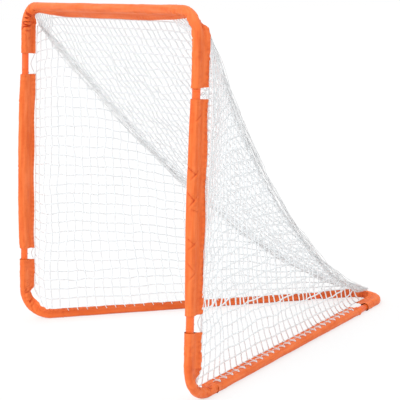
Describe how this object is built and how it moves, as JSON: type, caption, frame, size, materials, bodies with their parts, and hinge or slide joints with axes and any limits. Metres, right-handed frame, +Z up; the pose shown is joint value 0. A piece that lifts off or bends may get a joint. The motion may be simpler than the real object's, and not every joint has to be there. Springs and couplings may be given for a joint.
{
  "type": "lacrosse goal",
  "caption": "Backyard lacrosse goal: a tube mouth on ground bars that meet in a rounded apex, dressed in cloth sleeves, with a net pyramid on gathered seams.",
  "frame": {"origin": "middle of the goal's footprint on the ground", "axes": "+X from the left post to the right post, seen from the mouth; +Y from the mouth back to the apex; +Z up"},
  "size_m": [1.222, 1.2784, 1.22],
  "materials": {
    "painted_tube": "glossy orange powder coat",
    "plated_button": "zinc plated",
    "spring_steel": "bare spring strip",
    "coated_cloth": "coated orange woven polyester, satin",
    "net_twine": "white polyester twine",
    "seam_twine": "white twine gathered into a band"
  },
  "bodies": {
    "goal": {"top_bow_tube": "painted_tube", "left_post_tube": "painted_tube", "left_side_tube": "painted_tube", "right_post_tube": "painted_tube", "right_side_tube": "painted_tube", "apex_tube": "painted_tube", "left_upper_spring_clip": "spring_steel", "left_lower_spring_clip": "spring_steel", "left_rear_spring_clip": "spring_steel", "right_upper_spring_clip": "spring_steel", "right_lower_spring_clip": "spring_steel", "right_rear_spring_clip": "spring_steel", "top_sleeve": "coated_cloth", "left_post_sleeve": "coated_cloth", "left_foot_sleeve": "coated_cloth", "left_bar_sleeve": "coated_cloth", "right_post_sleeve": "coated_cloth", "right_foot_sleeve": "coated_cloth", "right_bar_sleeve": "coated_cloth", "apex_sleeve": "coated_cloth", "left_net": "net_twine", "right_net": "net_twine", "top_net": "net_twine", "left_seam": "seam_twine", "right_seam": "seam_twine", "left_upper_edge_cord": "net_twine", "left_lower_edge_cord": "net_twine", "left_lacing_cord": "net_twine", "right_upper_edge_cord": "net_twine", "right_lower_edge_cord": "net_twine", "right_lacing_cord": "net_twine"},
    "left_upper_button": {"left_upper_snap_button": "plated_button"},
    "left_lower_button": {"left_lower_snap_button": "plated_button"},
    "left_rear_button": {"left_rear_snap_button": "plated_button"},
    "right_upper_button": {"right_upper_snap_button": "plated_button"},
    "right_lower_button": {"right_lower_snap_button": "plated_button"},
    "right_rear_button": {"right_rear_snap_button": "plated_button"}
  },
  "joints": [
    {"name": "left_upper_button_press", "type": "slide", "parent": "goal", "child": "left_upper_button", "axis": [0, -0.9982, 0.0607], "range_m": [0, 0.0049], "stiffness_N_per_m": 800, "springref_m": -0.004, "deforming": ["left_upper_spring_clip"]},
    {"name": "left_lower_button_press", "type": "slide", "parent": "goal", "child": "left_lower_button", "axis": [0, -0.9982, 0.0607], "range_m": [0, 0.0049], "stiffness_N_per_m": 800, "springref_m": -0.004, "deforming": ["left_lower_spring_clip"]},
    {"name": "left_rear_button_press", "type": "slide", "parent": "goal", "child": "left_rear_button", "axis": [-0.7961, 0.3409, -0.5], "range_m": [0, 0.0049], "stiffness_N_per_m": 800, "springref_m": -0.004, "deforming": ["left_rear_spring_clip"]},
    {"name": "right_upper_button_press", "type": "slide", "parent": "goal", "child": "right_upper_button", "axis": [0, -0.9982, 0.0607], "range_m": [0, 0.0049], "stiffness_N_per_m": 800, "springref_m": -0.004, "deforming": ["right_upper_spring_clip"]},
    {"name": "right_lower_button_press", "type": "slide", "parent": "goal", "child": "right_lower_button", "axis": [0, -0.9982, 0.0607], "range_m": [0, 0.0049], "stiffness_N_per_m": 800, "springref_m": -0.004, "deforming": ["right_lower_spring_clip"]},
    {"name": "right_rear_button_press", "type": "slide", "parent": "goal", "child": "right_rear_button", "axis": [0.7961, 0.3409, -0.5], "range_m": [0, 0.0049], "stiffness_N_per_m": 800, "springref_m": -0.004, "deforming": ["right_rear_spring_clip"]}
  ]
}
